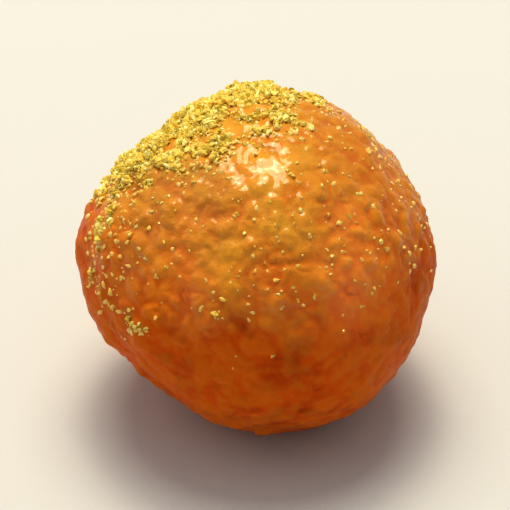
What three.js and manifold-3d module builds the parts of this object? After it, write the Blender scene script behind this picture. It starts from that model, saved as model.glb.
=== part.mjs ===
// Lokma: one ball of fried yeast dough, soaked in syrup, about the size of a walnut.
// Millimetres, +Z up. The ball rests on Z = 0 on a small spot that its own weight has flattened,
// and the origin is the middle of its footprint there. X runs across the ball and Y from front to back.
import * as THREE from "three";
import { mergeVertices } from "three/addons/utils/BufferGeometryUtils.js";
import Module from "manifold-3d";

const wasm = await Module();
wasm.setup();

// Driving dimensions. The rest of the shape follows from them.
const BALL_WIDTH = 27.5; // across the ball, side to side
const BALL_DEPTH = 27.6; // front to back
const BALL_HEIGHT = 27.1; // top to bottom, before the ball settles
const SETTLE = 0.62; // how much of the height the flattened spot takes away
const FACETS_PER_EDGE = 18; // each edge of the starting icosahedron is cut into this many

// The dough's uneven form: soft rises and flats, each with the way it points, how far it spreads
// (degrees from its middle) and how far it stands out of the round, or in if it is negative.
const SWELLS = [
  { part: "tail side", towards: [-0.98, -0.04, 0.16], spread: 24, rise: 0.4 },
  { part: "upper flat", towards: [-0.63, 0.49, 0.61], spread: 25, rise: -1.15 },
  { part: "lower flat", towards: [-0.6, -0.5, -0.62], spread: 26, rise: -0.95 },
  { part: "belly", towards: [0.5, -0.54, -0.68], spread: 34, rise: 0.5 },
  { part: "shoulder", towards: [0.78, 0.3, 0.55], spread: 24, rise: -0.55 },
  { part: "brow", towards: [0.25, -0.45, 0.86], spread: 24, rise: 0.25 },
  { part: "back rise", towards: [0.35, 0.93, 0.05], spread: 30, rise: 0.35 },
  { part: "back flat", towards: [-0.35, 0.84, -0.42], spread: 22, rise: -0.6 },
  { part: "crown, pressed by its topping", towards: [-0.6, 0.46, 0.65], spread: 20, rise: -0.6 },
  { part: "crown's edge, pressed too", towards: [0.22, 0.6, 0.76], spread: 15, rise: -0.35 },
  { part: "front underside", towards: [0.05, -0.62, -0.78], spread: 15, rise: -0.28 },
  { part: "left flat", towards: [-0.82, -0.36, -0.45], spread: 14, rise: -0.22 },
  { part: "front dent", towards: [-0.36, -0.5, 0.79], spread: 7, rise: -0.3 },
  { part: "low front dent", towards: [0.42, -0.86, 0.28], spread: 7, rise: -0.2 },
  { part: "back dent", towards: [0.5, 0.84, 0.2], spread: 8, rise: -0.25 },
  { part: "low back dent", towards: [-0.74, 0.5, -0.45], spread: 8, rise: -0.28 },
];

// The tail, where the blob of dough was pinched off: a low nub in a shallow ring.
const TAIL = {
  towards: [-0.975, 0.03, 0.19],
  spread: 8,
  rise: 0.34,
  ringAt: 17,
  ringSpread: 5,
  ringDepth: 0.14,
};

// Shallow dents and knolls, set out on a spiral so that they cover the crust evenly.
const DIMPLES = {
  count: 46,
  spread: [8, 14],
  rise: [-0.34, 0.22],
  wander: 0.35, // how far a dimple strays from its place on the spiral
};
const GOLDEN_ANGLE = Math.PI * (3 - Math.sqrt(5));

const CRUST = { color: 0xb8620f, roughness: 0.22, metalness: 0 };

// A repeatable number from 0 to 1 for the nth draw of a kind.
function draw(n, kind) {
  const wave = Math.sin(n * 127.1 + kind * 311.7) * 43758.5453;
  return wave - Math.floor(wave);
}

function between([low, high], share) {
  return low + (high - low) * share;
}

function unitVector(x, y, z) {
  return new THREE.Vector3(x, y, z).normalize();
}

// A soft bell over an angle: 1 in the middle, falling away over the spread.
function bell(degreesAway, spread) {
  return Math.exp(-((degreesAway / spread) ** 2));
}

function degreesBetween(a, b) {
  return THREE.MathUtils.radToDeg(a.angleTo(b));
}

function makeDimples() {
  return Array.from({ length: DIMPLES.count }, (_, n) => {
    const height = 1 - (2 * n + 1) / DIMPLES.count;
    const ring = Math.sqrt(1 - height * height);
    const turn = n * GOLDEN_ANGLE + DIMPLES.wander * (draw(n, 1) - 0.5);
    return {
      towards: unitVector(ring * Math.cos(turn), ring * Math.sin(turn), height),
      spread: between(DIMPLES.spread, draw(n, 2)),
      rise: between(DIMPLES.rise, draw(n, 3)),
    };
  });
}

const reliefs = [
  ...SWELLS.map((swell) => ({ ...swell, towards: unitVector(...swell.towards) })),
  ...makeDimples(),
];
const tailTowards = unitVector(...TAIL.towards);

function tailRise(direction) {
  const away = degreesBetween(direction, tailTowards);
  const nub = TAIL.rise * bell(away, TAIL.spread);
  const ring = TAIL.ringDepth * bell(away - TAIL.ringAt, TAIL.ringSpread);
  return nub - ring;
}

// How far the crust is from the ball's middle in a direction.
function crustRadius(direction) {
  const { x, y, z } = direction;
  const round =
    0.5 / Math.hypot(x / BALL_WIDTH, y / BALL_DEPTH, z / BALL_HEIGHT);
  const uneven = reliefs.reduce(
    (sum, relief) =>
      sum + relief.rise * bell(degreesBetween(direction, relief.towards), relief.spread),
    0,
  );
  return round + uneven + tailRise(direction);
}

// The whole ball before it settles: a fine icosahedron pushed out to the crust.
function friedBall() {
  const round = new THREE.IcosahedronGeometry(1, FACETS_PER_EDGE - 1);
  round.deleteAttribute("normal");
  round.deleteAttribute("uv");
  const ball = mergeVertices(round);
  const place = ball.getAttribute("position");
  const direction = new THREE.Vector3();
  for (let n = 0; n < place.count; n += 1) {
    direction.fromBufferAttribute(place, n).normalize();
    direction.multiplyScalar(crustRadius(direction));
    place.setXYZ(n, direction.x, direction.y, direction.z);
  }
  return ball;
}

function solidFrom(geometry) {
  return new wasm.Manifold(
    new wasm.Mesh({
      numProp: 3,
      vertProperties: geometry.getAttribute("position").array,
      triVerts: new Uint32Array(geometry.getIndex().array),
    }),
  );
}

function geometryFrom(solid) {
  const { vertProperties, triVerts } = solid.getMesh();
  const geometry = new THREE.BufferGeometry();
  geometry.setAttribute("position", new THREE.BufferAttribute(vertProperties, 3));
  geometry.setIndex(new THREE.BufferAttribute(triVerts, 1));
  return geometry;
}

// What lies under the resting spot, as a closed block with merged corners.
function blockBelow(level) {
  const side = 2 * BALL_WIDTH;
  const block = new THREE.BoxGeometry(side, side, side);
  block.deleteAttribute("normal");
  block.deleteAttribute("uv");
  block.translate(0, 0, level - side / 2);
  return mergeVertices(block);
}

// The ball cut flat where it rests, and set down with the middle of its footprint on the origin.
function settledBall() {
  const ball = friedBall();
  ball.computeBoundingBox();
  const restLevel = ball.boundingBox.min.z + SETTLE;
  const settled = geometryFrom(
    solidFrom(ball).subtract(solidFrom(blockBelow(restLevel))),
  );
  settled.computeBoundingBox();
  const middle = settled.boundingBox.getCenter(new THREE.Vector3());
  settled.translate(-middle.x, -middle.y, -settled.boundingBox.min.z);
  settled.computeVertexNormals();
  return settled;
}

const crust = new THREE.Mesh(settledBall(), new THREE.MeshStandardMaterial(CRUST));
crust.name = "fried_dough_ball";

const lokma = new THREE.Group();
lokma.name = "lokma";
lokma.add(crust);

export default lokma;
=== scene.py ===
"""Lokma: a ball of fried dough in a syrup glaze, with ground pistachio on its crown.

Lengths are in metres unless a name or a comment says otherwise. Directions are unit vectors from
the middle of the ball: +X to the right, +Y to the back, +Z up.
"""

import math

import bmesh
import bpy
import numpy as np
from bpy.props import FloatProperty, FloatVectorProperty, IntProperty, PointerProperty
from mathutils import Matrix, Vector, noise
from mathutils.bvhtree import BVHTree
from mathutils.kdtree import KDTree


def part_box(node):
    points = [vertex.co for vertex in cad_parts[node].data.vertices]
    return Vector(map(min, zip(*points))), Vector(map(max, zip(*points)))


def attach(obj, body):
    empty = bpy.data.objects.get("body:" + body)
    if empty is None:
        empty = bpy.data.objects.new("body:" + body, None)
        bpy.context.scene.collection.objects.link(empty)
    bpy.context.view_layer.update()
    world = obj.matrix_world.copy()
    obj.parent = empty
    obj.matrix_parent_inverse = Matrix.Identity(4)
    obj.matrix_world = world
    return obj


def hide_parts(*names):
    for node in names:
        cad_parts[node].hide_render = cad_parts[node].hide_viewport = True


bl_info = {
    "name": "Lokma",
    "version": (1, 0, 0),
    "blender": (4, 5, 0),
    "location": "3D View > Sidebar > Lokma",
    "description": "Makes one glazed ball of fried dough with ground pistachio on it",
    "category": "Add Mesh",
}

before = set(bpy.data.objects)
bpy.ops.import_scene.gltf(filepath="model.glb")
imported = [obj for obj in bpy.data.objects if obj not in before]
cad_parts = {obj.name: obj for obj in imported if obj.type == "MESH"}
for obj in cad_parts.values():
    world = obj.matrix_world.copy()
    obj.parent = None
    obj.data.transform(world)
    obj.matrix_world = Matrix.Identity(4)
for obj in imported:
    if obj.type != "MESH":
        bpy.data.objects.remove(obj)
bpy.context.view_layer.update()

DOUGH = "fried_dough_ball"
CRUST = "lokma_crust"
MM = 0.001

LOW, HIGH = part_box(DOUGH)
MIDDLE = (LOW + HIGH) / 2
BALL_RADIUS = (HIGH.x - LOW.x) / 2

# Where the pistachio was sprinkled: the crown, leaning to the left and back.
CROWN = Vector((-0.55, 0.3, 0.78)).normalized()

# Patches of the crust: the way each points, its spread in degrees and how strong it is. The first
# four kinds have their own tone, and some of their patches are painted shade and some painted light,
# as marked; smooth ones have fewer pebbles, and in a pool the syrup has filled the creases.
GOLDEN_AND_HIGHLIGHT_PATCHES = (
    ((-0.05, -0.15, 0.99), 30, 1.0),
    ((0.35, -0.19, 0.92), 20, 0.9),
    # Partly a painted highlight: paler gold below the glaze's highlight, where its glow fades out.
    ((0.15, -0.57, 0.8), 17, 0.95),
    ((-0.5, -0.35, 0.79), 16, 0.15),
    ((-0.12, -0.79, 0.59), 10, 1.0),
    ((0.46, -0.67, 0.58), 9, 0.4),
    ((0.1, 0.97, 0.2), 26, 0.5),
)
RUDDY_AND_LIT_PATCHES = (
    # Painted light: brighter red on the lower right than its lighting gives.
    ((0.59, -0.73, 0.35), 16, 1.0),
    ((-0.36, -0.83, 0.43), 14, 0.4),
    ((0.54, -0.52, 0.67), 9, 0.6),
    ((-0.75, 0.55, -0.3), 26, 0.6),
    ((0.7, 0.6, -0.1), 24, 0.5),
)
TAN_AND_SHADED_PATCHES = (
    # Painted shade: duller and darker on the upper right, as if this side were turned from the light.
    ((0.72, 0.1, 0.69), 28, 0.95),
    ((-0.28, -0.49, 0.83), 13, 0.65),
    ((-0.62, -0.32, 0.72), 17, 0.8),
    ((-0.75, -0.45, 0.49), 12, 0.5),
    ((0.54, -0.35, 0.77), 9, 0.4),
    # Painted shadow on the upper right, as a neighbouring ball would cast.
    ((0.52, 0.2, 0.83), 16, 0.8),
    ((-0.3, 0.92, 0.2), 30, 0.6),
)
BROWNED_AND_SHADED_PATCHES = (
    ((-0.8, -0.45, 0.4), 11, 0.75),
    # Painted shade: darker on the upper right, as if this side were turned from the light.
    ((0.74, -0.03, 0.68), 18, 0.55),
    ((0.1, -0.86, 0.5), 8, 0.35),
    # Painted shade: darker towards the right edge.
    ((0.9, -0.2, 0.4), 16, 0.3),
    ((0.1, 0.8, 0.6), 18, 0.4),
)
SMOOTH_PATCHES = (
    ((0.74, 0.02, 0.67), 22, 0.5),
    ((0.42, -0.86, -0.28), 24, 0.3),
    ((-0.2, 0.8, -0.55), 26, 0.4),
)
SYRUP_POOLS = (
    ((0.03, -0.26, 0.965), 20, 1.0),
    ((0.45, 0.5, 0.74), 10, 0.8),
    ((-0.5, 0.75, 0.43), 9, 0.8),
)
TONES = {
    "golden": GOLDEN_AND_HIGHLIGHT_PATCHES,
    "ruddy": RUDDY_AND_LIT_PATCHES,
    "tan": TAN_AND_SHADED_PATCHES,
    "browned": BROWNED_AND_SHADED_PATCHES,
}


# ---------------------------------------------------------------- sizes and colours


class CrustSettings(bpy.types.PropertyGroup):
    """The fried crust and its glaze."""

    blister_size: FloatProperty(
        name="Blister Size",
        description="Width of the largest blisters in the crust",
        default=2.2 * MM,
        min=0.2 * MM,
        unit="LENGTH",
    )
    blister_height: FloatProperty(
        name="Blister Height",
        description="How far the largest blisters stand out",
        default=0.38 * MM,
        min=0,
        unit="LENGTH",
    )
    blister_count: IntProperty(
        name="Blisters",
        description="How many blisters the whole crust has",
        default=3400,
        min=0,
    )
    pebble_height: FloatProperty(
        name="Pebble Height",
        description="How far the pebbles that cover the crust stand out",
        default=0.25 * MM,
        min=0,
        unit="LENGTH",
    )
    # Golden also makes painted light on the pebbles' tops and in one patch below the glaze's
    # highlight.
    golden: FloatVectorProperty(
        name="Golden Crust",
        description="Colour of the crust where it is thin and pale",
        default=(0.73, 0.365, 0.031),
        subtype="COLOR",
        min=0,
        max=1,
    )
    amber: FloatVectorProperty(
        name="Amber Crust",
        description="Main colour of the crust",
        default=(0.74, 0.21, 0.0055),
        subtype="COLOR",
        min=0,
        max=1,
    )
    # Brown also makes the painted shade low on the ball and in the shaded patches.
    brown: FloatVectorProperty(
        name="Browned Crust",
        description="Colour of the crust where it has fried longest",
        default=(0.64, 0.097, 0.001),
        subtype="COLOR",
        min=0,
        max=1,
    )
    # Ruddy also makes painted light in the patch on the lower right.
    ruddy: FloatVectorProperty(
        name="Ruddy Crust",
        description="Colour of the redder patches",
        default=(0.95, 0.24, 0.045),
        subtype="COLOR",
        min=0,
        max=1,
    )
    # Multiplies the colour for darker random freckles and clouds, and as painted shade in the creases
    # between pebbles.
    freckle_and_crease_shade: FloatVectorProperty(
        name="Crease Shade",
        description="What the crust's colour is multiplied by in creases and dark freckles",
        default=(0.6, 0.44, 0.25),
        subtype="COLOR",
        min=0,
        max=1,
    )
    # Tan also makes painted shade on the upper right.
    tan: FloatVectorProperty(
        name="Tan Crust",
        description="Colour of the duller, drier patches",
        default=(0.43, 0.165, 0.042),
        subtype="COLOR",
        min=0,
        max=1,
    )
    dusted: FloatVectorProperty(
        name="Dusted Crust",
        description="Colour of the crust where the finest pistachio clings to it",
        default=(0.44, 0.29, 0.035),
        subtype="COLOR",
        min=0,
        max=1,
    )


class PowderSettings(bpy.types.PropertyGroup):
    """The ground pistachio."""

    crumb_size: FloatProperty(
        name="Crumb Size",
        description="Usual width of a dry pistachio crumb",
        default=0.62 * MM,
        min=0.1 * MM,
        unit="LENGTH",
    )
    crumb_count: IntProperty(
        name="Crumbs",
        description="How many dry crumbs lie on the crown and around it",
        default=2450,
        min=1,
    )
    dust_size: FloatProperty(
        name="Dust Size",
        description="Usual width of a grain of fine pistachio dust",
        default=0.34 * MM,
        min=0.05 * MM,
        unit="LENGTH",
    )
    dust_count: IntProperty(
        name="Dust Grains",
        description="How many grains of fine dust there are",
        default=9500,
        min=1,
    )
    soaked_size: FloatProperty(
        name="Soaked Crumb Size",
        description="Usual width of a crumb that has sunk into the syrup",
        default=0.5 * MM,
        min=0.1 * MM,
        unit="LENGTH",
    )
    soaked_count: IntProperty(
        name="Soaked Crumbs",
        description="How many crumbs have soaked up syrup",
        default=2450,
        min=1,
    )
    heap_height: FloatProperty(
        name="Heap Height",
        description="Depth of the powder in the middle of the crown",
        default=0.5 * MM,
        min=0,
        unit="LENGTH",
    )
    pistachio: FloatVectorProperty(
        name="Pistachio",
        description="Main colour of the dry powder",
        default=(0.84, 0.59, 0.075),
        subtype="COLOR",
        min=0,
        max=1,
    )
    pale_pistachio: FloatVectorProperty(
        name="Pale Pistachio",
        description="Colour of the lightest crumbs",
        default=(0.95, 0.9, 0.36),
        subtype="COLOR",
        min=0,
        max=1,
    )
    green_pistachio: FloatVectorProperty(
        name="Green Pistachio",
        description="Colour of the greenest crumbs",
        default=(0.6, 0.44, 0.05),
        subtype="COLOR",
        min=0,
        max=1,
    )
    soaked_pistachio: FloatVectorProperty(
        name="Soaked Pistachio",
        description="Colour of the crumbs that have soaked up syrup",
        default=(0.95, 0.58, 0.13),
        subtype="COLOR",
        min=0,
        max=1,
    )


class StageSettings(bpy.types.PropertyGroup):
    """The floor, the lights and the camera."""

    floor_color: FloatVectorProperty(
        name="Floor Colour",
        description="Colour of the plain floor",
        default=(0.64, 0.668, 0.72),
        subtype="COLOR",
        min=0,
        max=1,
    )
    floor_cloud: FloatVectorProperty(
        name="Floor Cloud",
        description="Colour of the faint clouds in the floor",
        default=(0.6, 0.628, 0.68),
        subtype="COLOR",
        min=0,
        max=1,
    )
    key_power: FloatProperty(
        name="Key Power",
        description="Power of the large soft light overhead",
        default=2.68,
        min=0,
        unit="POWER",
    )
    lamp_power: FloatProperty(
        name="Lamp Power",
        description="Power of the small light overhead that gives the glaze its sharp glints",
        default=0.56,
        min=0,
        unit="POWER",
    )
    ceiling_power: FloatProperty(
        name="Ceiling Power",
        description="Power of the wide light above the key light",
        default=0.4,
        min=0,
        unit="POWER",
    )
    side_power: FloatProperty(
        name="Side Power",
        description="Power of the soft light on the left",
        default=0.55,
        min=0,
        unit="POWER",
    )
    room_light: FloatProperty(
        name="Room Light",
        description="Strength of the even light from all around",
        default=0.33,
        min=0,
    )
    camera_elevation: FloatProperty(
        name="Camera Elevation",
        description="Angle at which the camera looks down on the ball",
        default=math.radians(38.6),
        subtype="ANGLE",
    )
    camera_distance: FloatProperty(
        name="Camera Distance",
        description="Distance from the camera to the middle of the ball",
        default=0.85,
        min=0.1,
        unit="LENGTH",
    )
    fill_of_view: FloatProperty(
        name="Fill of View",
        description="Share of the picture's width that the ball takes up",
        default=0.7,
        min=0.1,
        max=1,
        subtype="FACTOR",
    )


# ---------------------------------------------------------------- shader nodes as Python


class Wire:
    """A node's output that Python's operators work on. Each operator adds one Math node."""

    def __init__(self, socket):
        self.socket = socket

    def maths(self, operation, *values):
        node = self.socket.id_data.nodes.new("ShaderNodeMath")
        node.operation = operation
        connect(node, dict(enumerate(values)))
        return Wire(node.outputs[0])

    def __add__(self, other):
        return self.maths("ADD", self, other)

    __radd__ = __add__

    def __mul__(self, other):
        return self.maths("MULTIPLY", self, other)

    __rmul__ = __mul__

    def __sub__(self, other):
        return self.maths("SUBTRACT", self, other)

    def __rsub__(self, other):
        return self.maths("SUBTRACT", other, self)


def connect(node, sockets):
    """Sets a node's inputs, given by name or by number, to values or to links."""
    for key, value in sockets.items():
        if isinstance(value, Wire):
            node.id_data.links.new(value.socket, node.inputs[key])
        else:
            node.inputs[key].default_value = value


class Finish:
    """A material under construction."""

    def __init__(self, name):
        self.material = bpy.data.materials.new(name)
        self.material.use_nodes = True
        self.tree = self.material.node_tree
        self.tree.nodes.clear()

    def node(self, kind, settings, sockets, output=0):
        """Adds a node, sets it up, joins its inputs and gives one of its outputs."""
        node = self.tree.nodes.new(kind)
        for name, value in settings.items():
            if name == "stops":
                set_stops(node.color_ramp, value)
            else:
                setattr(node, name, value)
        connect(node, sockets)
        return Wire(node.outputs[output]) if node.outputs else None

    def attribute(self, name):
        """A number that the mesh carries at each of its points."""
        return self.node("ShaderNodeAttribute", {"attribute_name": name}, {}, "Fac")

    def noise(self, size, detail=2.0, roughness=0.5):
        """Even noise from 0 to 1 whose patches are about as wide as the size given."""
        place = self.node("ShaderNodeTexCoord", {}, {}, "Object")
        sockets = {"Vector": place, "Scale": 1 / size, "Detail": detail, "Roughness": roughness}
        return self.node("ShaderNodeTexNoise", {}, sockets, "Fac")

    def ramp(self, value, low, high):
        """0 at low, 1 at high and a smooth change between them. Low may be the larger of the two."""
        settings = {"interpolation_type": "SMOOTHSTEP"}
        sockets = {"Value": value, "From Min": low, "From Max": high}
        return self.node("ShaderNodeMapRange", settings, sockets)

    def mix(self, share, first, second):
        """The first colour, giving way to the second as the share goes from 0 to 1."""
        sockets = {0: share, 6: as_rgba(first), 7: as_rgba(second)}
        return self.node("ShaderNodeMix", {"data_type": "RGBA"}, sockets, 2)

    def deepen(self, share, color, shade):
        """The colour, multiplied by a shade as the share goes from 0 to 1."""
        settings = {"data_type": "RGBA", "blend_type": "MULTIPLY"}
        sockets = {0: share, 6: as_rgba(color), 7: as_rgba(shade)}
        return self.node("ShaderNodeMix", settings, sockets, 2)

    def bump(self, height, depth, strength=1.0):
        """A normal bent by a height from 0 to 1 that stands for a real depth."""
        return self.node(
            "ShaderNodeBump", {}, {"Height": height, "Distance": depth, "Strength": strength}
        )

    def principled(self, sockets):
        """Ends the material with the usual surface shader."""
        surface = self.node("ShaderNodeBsdfPrincipled", {}, sockets)
        self.node("ShaderNodeOutputMaterial", {}, {"Surface": surface})
        return self.material


def set_stops(ramp, stops):
    """Gives a colour ramp its stops, as (place, colour) pairs."""
    while len(ramp.elements) > len(stops):
        ramp.elements.remove(ramp.elements[-1])
    while len(ramp.elements) < len(stops):
        ramp.elements.new(1.0)
    for element, (place, color) in zip(ramp.elements, stops):
        element.position = place
        element.color = as_rgba(color)


def as_rgba(color):
    """A colour with its alpha. A wire stays as it is."""
    return color if isinstance(color, Wire) else (*color, 1.0)


# ---------------------------------------------------------------- the form of the ball

SKIN_STEPS = 128  # rows of faces along each side of the cube that the skin starts from
RNG_SEED = 20
FACET_ROUNDS = 36  # rounds of softening that take the CAD solid's facets out of the skin
LEVEL_ROUNDS = 40  # rounds of softening that turn the crust's fine form into the syrup's level
LEVEL_DROP = 0.07 * MM  # how far that level is then let down
POOL_CALM = 0.4  # share of the crust's unevenness that a pool of syrup hides
TAN_DRYNESS = 0.85  # share of the glaze that a tan patch goes without

# The crust's lumps: their size, their height and a shift that sets them apart from each other.
LUMPS = ((4.2 * MM, 0.27 * MM, 0.0), (2.1 * MM, 0.09 * MM, 7.0))


def unit(values):
    """A direction, as a vector one unit long."""
    return Vector(values).normalized()


def bell(away, spread):
    """1 in the middle of a patch, falling away over its spread. Both are angles."""
    return math.exp(-((away / spread) ** 2))


def smooth_rise(value, low, high):
    """0 below low, 1 above high and a smooth rise between them."""
    share = min(max((value - low) / (high - low), 0.0), 1.0)
    return share * share * (3 - 2 * share)


def patch_share(way, patches):
    """How strongly the nearest of a few patches shows in a direction."""
    return max(share * bell(way.angle(unit(towards)), math.radians(spread))
               for towards, spread, share in patches)


def cube_ball(steps):
    """The points and faces of a cube's skin blown up into a unit ball, its faces nearly even."""
    rows, columns = np.mgrid[0 : steps + 1, 0 : steps + 1]
    places, squares = [], []
    for axis in range(3):
        for side in (0, steps):
            place = np.empty((steps + 1, steps + 1, 3), int)
            place[..., axis] = side
            place[..., (axis + 1) % 3] = rows
            place[..., (axis + 2) % 3] = columns
            number = np.arange(rows.size).reshape(rows.shape) + rows.size * len(places)
            corners = (number[:-1, :-1], number[1:, :-1], number[1:, 1:], number[:-1, 1:])
            square = np.stack(corners if side else corners[::-1], -1)
            places.append(place.reshape(-1, 3))
            squares.append(square.reshape(-1, 4))
    grid, kept = np.unique(np.concatenate(places), axis=0, return_inverse=True)
    ways = np.tan((2 * grid / steps - 1) * math.pi / 4)
    ways /= np.linalg.norm(ways, axis=1, keepdims=True)
    return ways, kept.reshape(-1)[np.concatenate(squares)]


class Skin:
    """The crust's surface: a direction and a distance from the ball's middle for each point."""

    def __init__(self, steps):
        self.ways, self.faces = cube_ball(steps)
        self.vectors = [Vector(way) for way in self.ways]
        sides = np.concatenate([self.faces[:, [n, (n + 1) % 4]] for n in range(4)])
        self.pairs = np.unique(np.sort(sides, axis=1), axis=0)
        self.neighbours = np.bincount(self.pairs.ravel(), minlength=len(self.ways))
        self.reach = self.soften(self.cad_reach(), FACET_ROUNDS)

    def cad_reach(self):
        """How far the CAD solid's surface is from the middle along each direction."""
        solid = BVHTree.FromObject(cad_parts[DOUGH], bpy.context.evaluated_depsgraph_get())
        return np.array([solid.ray_cast(MIDDLE, way)[3] for way in self.vectors])

    def soften(self, values, rounds):
        """Evens out a value over the surface: each round averages it with its neighbours."""
        first, second = self.pairs.T
        for _ in range(rounds):
            total = np.bincount(first, values[second], len(values))
            total += np.bincount(second, values[first], len(values))
            values = (values + total / self.neighbours) / 2
        return values

    def sample(self, size, shift):
        """Noise from -1 to 1 over the ball, its patches about as wide as the size given."""
        scale = BALL_RADIUS / size
        away = Vector((shift, -shift, 2 * shift))
        return np.array([noise.noise(way * scale + away) for way in self.vectors])

    def measure(self, function):
        """A function's value for each direction."""
        return np.array([function(way) for way in self.vectors])

    def patch_shares(self, patches):
        """How strongly the nearest of a few patches shows in each direction."""
        return self.measure(lambda way: patch_share(way, patches))

    def points(self):
        """The place of each point of the skin."""
        return np.array(MIDDLE) + self.ways * self.reach[:, None]


def random_ways(count, generator):
    """Directions spread evenly over a ball."""
    ways = generator.normal(size=(count, 3))
    return ways / np.linalg.norm(ways, axis=1, keepdims=True)


def pebbled_share(way):
    """How pebbly the crust is: most on the upper side, less low down and on smooth stretches."""
    height = way.z + 0.16 * noise.noise(way * 2.6)
    rough = smooth_rise(noise.noise(way * 2.3 + Vector((1, 5, 2))), -0.35, 0.25)
    smooth = patch_share(way, SMOOTH_PATCHES)
    return (0.65 + 0.4 * smooth_rise(height, -0.15, 0.45)) * (0.7 + 0.35 * rough) * (1 - smooth)


def syrup_share(way):
    """How thick the glaze is: most on top, with runs down the sides, and little underneath."""
    run = noise.noise(Vector((way.x * 5, way.y * 5, way.z * 1.2)))
    return 0.03 + 0.97 * smooth_rise(way.z + 0.25 * run, 0.1, 0.75)


def pebble_height(way):
    """Round pebbles from 0 to about 1 with creases between them, in ever finer sizes."""
    bent = way + 0.03 * noise.noise_vector(way * 9)
    coarseness = 0.5 + 0.5 * noise.noise(way * 3.7)
    height = 0.0
    for size, share in (
        (2.6 * MM, 1.5 * coarseness),
        (1.6 * MM, 1.1),
        (1.0 * MM, 0.8 - 0.3 * coarseness),
        (0.6 * MM, 0.5 - 0.2 * coarseness),
    ):
        height += share * abs(noise.noise(bent * (BALL_RADIUS / size) + Vector((size, 3, 5))))
    return height


def blisters(skin, settings, generator):
    """Low uneven domes scattered over the crust, the higher of two where they meet."""
    finder = KDTree(len(skin.ways))
    for number, way in enumerate(skin.vectors):  # a little off, which makes the rims uneven
        bent = 0.016 * noise.noise_vector(way * 17) + 0.006 * noise.noise_vector(way * 40)
        finder.insert(way + bent, number)
    finder.balance()
    relief = np.zeros(len(skin.ways))
    ways = random_ways(settings.blister_count, generator)
    sizes = 0.22 + 0.78 * generator.random(len(ways)) ** 2.4  # few are large
    for way, size in zip(ways, sizes):
        spread = size * settings.blister_size / 2 / BALL_RADIUS
        height = size * settings.blister_height * generator.uniform(0.35, 1.0)
        fullness = generator.uniform(0.8, 2.2)
        for _, number, away in finder.find_range(way, spread):
            dome = height * (1 - (away / spread) ** 2) ** fullness
            relief[number] = max(relief[number], dome)
    return relief


def shape_crust(skin, settings):
    """Adds the lumps, pebbles and blisters to the skin and returns how far the last two stand out."""
    generator = np.random.default_rng(RNG_SEED)
    noise.seed_set(RNG_SEED)  # without it noise_vector differs from run to run
    pebbled = skin.measure(pebbled_share)
    lumps = sum(height * skin.sample(size, shift) for size, height, shift in LUMPS)
    pebbles = settings.pebble_height * skin.measure(pebble_height)
    domes = blisters(skin, settings, generator)
    fine = domes + pebbles
    fine = np.maximum(fine, skin.soften(fine, LEVEL_ROUNDS) - LEVEL_DROP)
    uneven = lumps + pebbled * (fine - fine.mean())
    skin.reach = skin.reach + (1 - POOL_CALM * skin.patch_shares(SYRUP_POOLS)) * uneven
    return fine


def rest_on_floor(points):
    """Flattens what would sink into the surface under the ball."""
    points[:, 2] = np.maximum(points[:, 2], 0.0)
    return points


def new_mesh(name, points, faces, smooth):
    """Adds a piece with the given points and faces to the scene."""
    mesh = bpy.data.meshes.new(name)
    mesh.from_pydata(points.tolist(), [], faces.tolist())
    if smooth:
        mesh.shade_smooth()
    else:
        mesh.shade_flat()
    piece = bpy.data.objects.new(name, mesh)
    bpy.context.scene.collection.objects.link(piece)
    return piece


def carry(piece, name, values):
    """Stores a number for each point of the piece's mesh."""
    column = piece.data.attributes.new(name, "FLOAT", "POINT")
    column.data.foreach_set("value", np.asarray(values, np.float32))


# ---------------------------------------------------------------- where the powder lies

# Each patch of powder: the way it points, its spread in degrees and how thickly it lies.
POWDER_PATCHES = (
    (CROWN, 30, 1.0),
    ((-0.08, 0.44, 0.89), 21, 0.85),
    ((0.26, 0.52, 0.81), 15, 0.5),
    ((0.08, 0.02, 0.99), 15, 0.5),
    ((-0.3, -0.17, 0.94), 13, 0.45),
    ((-0.9, -0.23, 0.37), 10, 0.33),
    ((-0.8, -0.28, 0.53), 7, 0.36),
    ((-0.94, -0.32, 0.1), 8, 0.32),
    ((-0.85, -0.51, 0.12), 8, 0.31),
    ((-0.68, -0.73, 0.1), 7, 0.3),
    ((-0.22, -0.93, 0.3), 2.5, 0.35),
)
# The same for the patches where more crumbs have soaked up syrup.
SOAKED_PATCHES = (
    ((-0.81, -0.29, 0.51), 14, 0.35),
    ((-0.84, -0.5, 0.2), 12, 0.3),
    ((0.85, -0.45, 0.3), 7, 0.15),
)


def powder_share(way):
    """How thickly powder lies in a direction, at most 1, with a ragged edge."""
    ragged = 1 + 0.5 * noise.noise(way * 6.5) + 1.1 * noise.noise(way * 11)
    return min(patch_share(way, POWDER_PATCHES) * ragged, 1.0)


def heaped_share(way):
    """Where dry crumbs lie: crowded where the powder is thick, and a few elsewhere on top."""
    thick = smooth_rise(powder_share(way), 0.28, 0.75)
    stray = 0.0006 * smooth_rise(way.z, -0.2, 0.7)
    return min(thick + stray, 1.0)


def soaked_share(way):
    """Where soaked crumbs lie: with the dry ones, in patches and thinly over the upper half."""
    ring = smooth_rise(powder_share(way), 0.12, 0.42)
    upper = 0.1 * smooth_rise(way.z + 0.25 * noise.noise(way * 3.1), 0.0, 0.6)
    return min(ring + upper + patch_share(way, SOAKED_PATCHES), 1.0)


def scatter(count, share_at, generator):
    """Draws that many directions, each kept with the chance that share_at gives it."""
    kept = []
    while len(kept) < count:
        way = Vector(random_ways(1, generator)[0])
        if generator.random() < share_at(way):
            kept.append(way)
    return kept


def heap_depths(ways, settings):
    """How deep the heap of powder is in each direction."""
    return np.array([settings.heap_height * powder_share(way) ** 2 for way in ways])


# ---------------------------------------------------------------- crumbs

CRUMB_KINDS = 24  # different shapes of crumb in a piece
CRUMB_BREAKS = 6  # flat breaks in each shape


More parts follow.
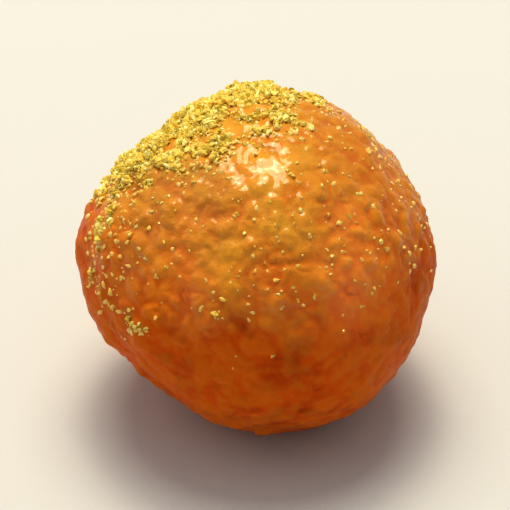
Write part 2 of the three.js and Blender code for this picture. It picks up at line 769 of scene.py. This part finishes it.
def crumb_shapes(kinds, divisions, generator):
    """A few broken crumbs about one unit wide, as points for each kind and their shared faces."""
    round_one = bmesh.new()
    bmesh.ops.create_icosphere(round_one, subdivisions=divisions, radius=0.5)
    points = np.array([vertex.co for vertex in round_one.verts])
    faces = np.array([[vertex.index for vertex in face.verts] for face in round_one.faces])
    round_one.free()
    shapes = []
    for _ in range(kinds):
        shape = points * generator.uniform(0.85, 1.15, (len(points), 1))
        shape *= generator.uniform((1.0, 0.7, 0.45), (1.5, 1.05, 0.8))
        for way in random_ways(CRUMB_BREAKS, generator):
            beyond = np.maximum(shape @ way - generator.uniform(0.14, 0.3), 0)
            shape -= beyond[:, None] * way
        shapes.append(shape)
    return np.array(shapes), faces


def random_turns(count, generator):
    """A rotation matrix for each crumb."""
    first = random_ways(count, generator)
    second = np.cross(first, random_ways(count, generator))
    second /= np.linalg.norm(second, axis=1, keepdims=True)
    return np.stack((first, second, np.cross(first, second)), axis=1)


def crumb_piece(name, seats, sizes, divisions, smooth, generator):
    """Joins one crumb at each seat into one piece."""
    shapes, faces = crumb_shapes(CRUMB_KINDS, divisions, generator)
    kinds = generator.integers(len(shapes), size=len(seats))
    turned = np.einsum("nij,njk->nik", shapes[kinds], random_turns(len(seats), generator))
    points = turned * np.asarray(sizes)[:, None, None] + np.asarray(seats)[:, None, :]
    per_crumb = points.shape[1]
    all_faces = faces[None] + per_crumb * np.arange(len(seats))[:, None, None]
    piece = new_mesh(name, points.reshape(-1, 3), all_faces.reshape(-1, 3), smooth)
    carry(piece, "tone", np.repeat(generator.random(len(seats)), per_crumb))
    return piece


def seats_on_crust(ways, lifts):
    """The place on the crust in each direction, lifted along the crust's normal."""
    crust = BVHTree.FromObject(bpy.data.objects[CRUST], bpy.context.evaluated_depsgraph_get())
    seats = []
    for way, lift in zip(ways, lifts):
        place, normal = crust.ray_cast(MIDDLE, way)[:2]
        seats.append(place + normal * lift)
    return np.array(seats)


# ---------------------------------------------------------------- finishes


def crust_finish(settings):
    """Fried crust seen through syrup: amber on top and brown below, the brown below partly painted
    shade, with patches of other tones, some of them painted shade and some painted light, and painted
    shade in the creases.
    """
    finish = Finish("glazed_crust")
    height = finish.attribute("height")
    mottle = finish.noise(3.4 * MM, 3.0)
    speckle = finish.noise(0.7 * MM, 4.0, 0.65)
    # Browner towards the bottom: partly the crust's browner underside, partly painted shade.
    low_brown_and_shade = finish.ramp(height + (mottle - 0.5) * 0.5, 0.56, 0.12)
    color = finish.mix(low_brown_and_shade, settings.amber, settings.brown)
    cloud = finish.ramp(finish.noise(4.4 * MM, 2.0), 0.5, 0.64)
    color = finish.deepen(cloud * 0.4, color, settings.freckle_and_crease_shade)
    freckle = finish.ramp(finish.noise(1.9 * MM, 3.0, 0.55), 0.48, 0.68)
    color = finish.deepen(freckle * (0.4 + low_brown_and_shade * 0.1), color, settings.freckle_and_crease_shade)
    pinprick = finish.ramp(speckle, 0.58, 0.72)
    color = finish.deepen(pinprick * 0.6, color, settings.freckle_and_crease_shade)
    # Golden patches, one of them partly a painted highlight.
    golden = finish.attribute("golden") * finish.ramp(mottle + (speckle - 0.5) * 0.3, 0.28, 0.66)
    color = finish.mix(golden, color, settings.golden)
    # Ruddy patches, one of them painted light.
    color = finish.mix(finish.attribute("ruddy") * 0.8, color, settings.ruddy)
    # Tan patches, some of them painted shade and painted shadow.
    color = finish.mix(finish.attribute("tan"), color, settings.tan)
    # Browned patches, some of them painted shade.
    color = finish.mix(finish.attribute("browned"), color, settings.brown)
    raised = finish.attribute("raised")
    # Painted shade: darker in the creases between pebbles.
    painted_crease_shade = finish.ramp(raised + (speckle - 0.5) * 0.5, 0.45, 0.05)
    color = finish.deepen(painted_crease_shade * 0.8, color, settings.freckle_and_crease_shade)
    # Paler gold on the pebbles' tops: partly thinner crust, partly painted light.
    crest_and_painted_light = finish.ramp(raised + (speckle - 0.5) * 0.5, 0.4, 1.3)
    color = finish.mix(crest_and_painted_light * (0.5 - low_brown_and_shade * 0.27), color, settings.golden)
    dusting = finish.ramp(finish.attribute("dusting"), 0.12, 0.55) * finish.ramp(speckle, 0.2, 0.65)
    color = finish.mix(dusting * 0.85, color, settings.dusted)
    grain = finish.noise(0.2 * MM, 3.0, 0.65) + finish.noise(0.5 * MM, 2.0)
    return finish.principled(
        {
            "Base Color": color,
            "Roughness": 0.3 + dusting * 0.3 + (speckle - 0.5) * 0.2,
            "Normal": finish.bump(grain, 0.07 * MM, 0.8),
            "Subsurface Weight": 0.25,
            "Subsurface Radius": (1.0, 0.35, 0.08),
            "Subsurface Scale": 0.7 * MM,
            "Specular IOR Level": 0.02,
            "Coat Weight": finish.attribute("syrup"),
            "Coat Roughness": 0.12,
            "Coat IOR": 1.5,
        }
    )


def powder_finish(name, settings, roughness, grain_size):
    """Dry ground pistachio: each crumb has its own tone from pale to green."""
    finish = Finish(name)
    tone = finish.attribute("tone")
    stops = (
        (0.08, settings.green_pistachio),
        (0.4, settings.pistachio),
        (0.65, settings.pistachio),
        (0.9, settings.pale_pistachio),
    )
    color = finish.node("ShaderNodeValToRGB", {"stops": stops}, {"Fac": tone}, "Color")
    flecks = finish.ramp(finish.noise(grain_size, 3.0, 0.6), 0.42, 0.7)
    color = finish.mix(flecks * 0.35, color, settings.pale_pistachio)
    grain = finish.noise(grain_size * 0.5, 3.0, 0.7)
    return finish.principled(
        {
            "Base Color": color,
            "Roughness": roughness,
            "Normal": finish.bump(grain, 0.05 * MM, 0.8),
            "Subsurface Weight": 0.15,
            "Subsurface Radius": (1.0, 0.8, 0.3),
            "Subsurface Scale": 0.3 * MM,
        }
    )


def soaked_finish(settings):
    """Pistachio crumbs under syrup: glossy and amber, the thickest still yellow."""
    finish = Finish("soaked_pistachio")
    tone = finish.attribute("tone")
    color = finish.mix(finish.ramp(tone, 0.6, 1.3), settings.soaked_pistachio, settings.pistachio)
    return finish.principled(
        {
            "Base Color": color,
            "Roughness": 0.35,
            "Subsurface Weight": 0.3,
            "Subsurface Radius": (1.0, 0.5, 0.12),
            "Subsurface Scale": 0.8 * MM,
            "Coat Weight": 1.0,
            "Coat Roughness": 0.05,
            "Coat IOR": 1.48,
        }
    )


def floor_finish(settings):
    """A plain pale surface with hardly visible clouds in it."""
    finish = Finish("pale_floor")
    cloudy = finish.noise(0.09, 2.0)
    color = finish.mix(cloudy * 0.04, settings.floor_color, settings.floor_cloud)
    return finish.principled({"Base Color": color, "Roughness": 0.75, "Specular IOR Level": 0.2})


# ---------------------------------------------------------------- one operator for each piece


class LOKMA_OT_crust(bpy.types.Operator):
    """Make the fried crust with its syrup glaze in place of the CAD ball"""

    bl_idname = "lokma.crust"
    bl_label = "Crust and Glaze"

    def execute(self, context):
        settings = context.scene.lokma_crust
        skin = Skin(SKIN_STEPS)
        raised = shape_crust(skin, settings)
        crust = new_mesh(CRUST, rest_on_floor(skin.points()), skin.faces, True)
        carry(crust, "height", skin.ways[:, 2])
        carry(crust, "raised", np.clip(raised / settings.pebble_height, 0, 1))
        tones = {name: skin.patch_shares(patches) for name, patches in TONES.items()}
        for name, shares in tones.items():
            carry(crust, name, shares)
        carry(crust, "dusting", skin.measure(powder_share))
        carry(crust, "syrup", skin.measure(syrup_share) * (1 - TAN_DRYNESS * tones["tan"]))
        crust.data.materials.append(crust_finish(settings))
        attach(crust, "root")
        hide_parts(DOUGH)
        return {"FINISHED"}


class LOKMA_OT_crumbs(bpy.types.Operator):
    """Heap dry pistachio crumbs on the crown"""

    bl_idname = "lokma.crumbs"
    bl_label = "Dry Pistachio Crumbs"

    def execute(self, context):
        settings = context.scene.lokma_powder
        generator = np.random.default_rng(RNG_SEED + 1)
        ways = scatter(settings.crumb_count, heaped_share, generator)
        sizes = settings.crumb_size * generator.uniform(0.55, 1.25, len(ways))
        within = generator.random(len(ways)) ** 0.7
        lifts = heap_depths(ways, settings) * within + 0.15 * sizes
        seats = seats_on_crust(ways, lifts)
        crumbs = crumb_piece("pistachio_crumbs", seats, sizes, 2, False, generator)
        crumbs.data.materials.append(powder_finish("dry_pistachio", settings, 0.7, 0.3 * MM))
        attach(crumbs, "root")
        return {"FINISHED"}


class LOKMA_OT_dust(bpy.types.Operator):
    """Strew fine pistachio dust over and around the crumbs"""

    bl_idname = "lokma.dust"
    bl_label = "Fine Pistachio Dust"

    def execute(self, context):
        settings = context.scene.lokma_powder
        generator = np.random.default_rng(RNG_SEED + 2)
        ways = scatter(settings.dust_count, heaped_share, generator)
        sizes = settings.dust_size * generator.uniform(0.6, 1.3, len(ways))
        lifts = heap_depths(ways, settings) * generator.uniform(0.3, 1.25, len(ways))
        seats = seats_on_crust(ways, lifts)
        dust = crumb_piece("pistachio_dust", seats, sizes, 1, False, generator)
        dust.data.materials.append(powder_finish("pistachio_dust", settings, 0.8, 0.15 * MM))
        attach(dust, "root")
        return {"FINISHED"}


class LOKMA_OT_soaked(bpy.types.Operator):
    """Set crumbs that have soaked up syrup into the glaze"""

    bl_idname = "lokma.soaked"
    bl_label = "Soaked Crumbs"

    def execute(self, context):
        settings = context.scene.lokma_powder
        generator = np.random.default_rng(RNG_SEED + 3)
        ways = scatter(settings.soaked_count, soaked_share, generator)
        sizes = settings.soaked_size * (0.45 + 1.05 * generator.random(len(ways)) ** 1.5)
        seats = seats_on_crust(ways, -0.12 * sizes)  # a little sunk
        soaked = crumb_piece("soaked_crumbs", seats, sizes, 2, True, generator)
        soaked.data.materials.append(soaked_finish(settings))
        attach(soaked, "root")
        return {"FINISHED"}


# Each light: the way it lies from the ball, its distance, its width and its colour.
LIGHTS = {
    "key": ((-0.03, 0.3, 0.95), 0.6, 0.42, (1.0, 0.91, 0.68)),
    "lamp": ((-0.03, 0.32, 0.95), 0.55, 0.13, (1.0, 0.84, 0.5)),
    "ceiling": ((0.0, -0.1, 1.0), 0.9, 0.9, (1.0, 0.95, 0.88)),
    "side": ((-0.8, 0.05, 0.6), 0.8, 0.7, (1.0, 0.9, 0.7)),
}
ROOM_COLOR = (1.0, 0.95, 0.87)
FLOOR_REACH = 3.0  # from the floor's middle to its sides


def add_soft_light(name, towards, distance, size, color, power):
    """A round soft light that looks at the ball from a direction."""
    light = bpy.data.lights.new(name, "AREA")
    light.shape = "DISK"
    light.size = size
    light.energy = power
    light.color = color
    lamp = bpy.data.objects.new(name, light)
    lamp.location = MIDDLE + unit(towards) * distance
    lamp.rotation_euler = (-unit(towards)).to_track_quat("-Z", "Y").to_euler()
    bpy.context.scene.collection.objects.link(lamp)


def add_floor(settings):
    """A wide plain floor under the ball."""
    points = FLOOR_REACH * np.array([(-1, -1, 0), (1, -1, 0), (1, 1, 0), (-1, 1, 0)])
    floor = new_mesh("floor", points, np.array([[0, 1, 2, 3]]), False)
    floor.data.materials.append(floor_finish(settings))


def add_camera(settings):
    """A camera that looks down on the ball from the front."""
    elevation = settings.camera_elevation
    away = Vector((0, -math.cos(elevation), math.sin(elevation)))
    lens = bpy.data.cameras.new("camera")
    lens.angle = 2 * math.atan(BALL_RADIUS / settings.fill_of_view / settings.camera_distance)
    camera = bpy.data.objects.new("camera", lens)
    camera.location = MIDDLE + away * settings.camera_distance
    camera.rotation_euler = (-away).to_track_quat("-Z", "Y").to_euler()
    bpy.context.scene.collection.objects.link(camera)
    bpy.context.scene.camera = camera


class LOKMA_OT_stage(bpy.types.Operator):
    """Set up the floor, the soft lights and the camera"""

    bl_idname = "lokma.stage"
    bl_label = "Floor, Lights and Camera"

    def execute(self, context):
        settings = context.scene.lokma_stage
        add_floor(settings)
        for name, light in LIGHTS.items():
            add_soft_light(name, *light, getattr(settings, name + "_power"))
        world = bpy.data.worlds.new("room")
        world.use_nodes = True
        air = world.node_tree.nodes["Background"]
        air.inputs["Color"].default_value = as_rgba(ROOM_COLOR)
        air.inputs["Strength"].default_value = settings.room_light
        context.scene.world = world
        context.scene.view_settings.view_transform = "Standard"
        context.scene.view_settings.look = "Medium High Contrast"
        add_camera(settings)
        return {"FINISHED"}


class LOKMA_PT_panel(bpy.types.Panel):
    """Lists what makes up the lokma"""

    bl_label = "Lokma"
    bl_idname = "LOKMA_PT_panel"
    bl_space_type = "VIEW_3D"
    bl_region_type = "UI"
    bl_category = "Lokma"

    def draw(self, context):
        for operator in OPERATORS:
            self.layout.operator(operator.bl_idname)
        for name, group in SETTINGS.items():
            box = self.layout.box()
            for field in group.__annotations__:
                box.prop(getattr(context.scene, name), field)


OPERATORS = (
    LOKMA_OT_crust,
    LOKMA_OT_soaked,
    LOKMA_OT_crumbs,
    LOKMA_OT_dust,
    LOKMA_OT_stage,
)
SETTINGS = {
    "lokma_crust": CrustSettings,
    "lokma_powder": PowderSettings,
    "lokma_stage": StageSettings,
}


def register():
    for kind in (*SETTINGS.values(), *OPERATORS, LOKMA_PT_panel):
        bpy.utils.register_class(kind)
    for name, group in SETTINGS.items():
        setattr(bpy.types.Scene, name, PointerProperty(type=group))


def unregister():
    for name in SETTINGS:
        delattr(bpy.types.Scene, name)
    for kind in (LOKMA_PT_panel, *OPERATORS[::-1], *SETTINGS.values()):
        bpy.utils.unregister_class(kind)


def main():
    register()
    bpy.ops.lokma.crust()
    bpy.ops.lokma.soaked()
    bpy.ops.lokma.crumbs()
    bpy.ops.lokma.dust()
    bpy.ops.lokma.stage()


if __name__ == "__main__":
    main()
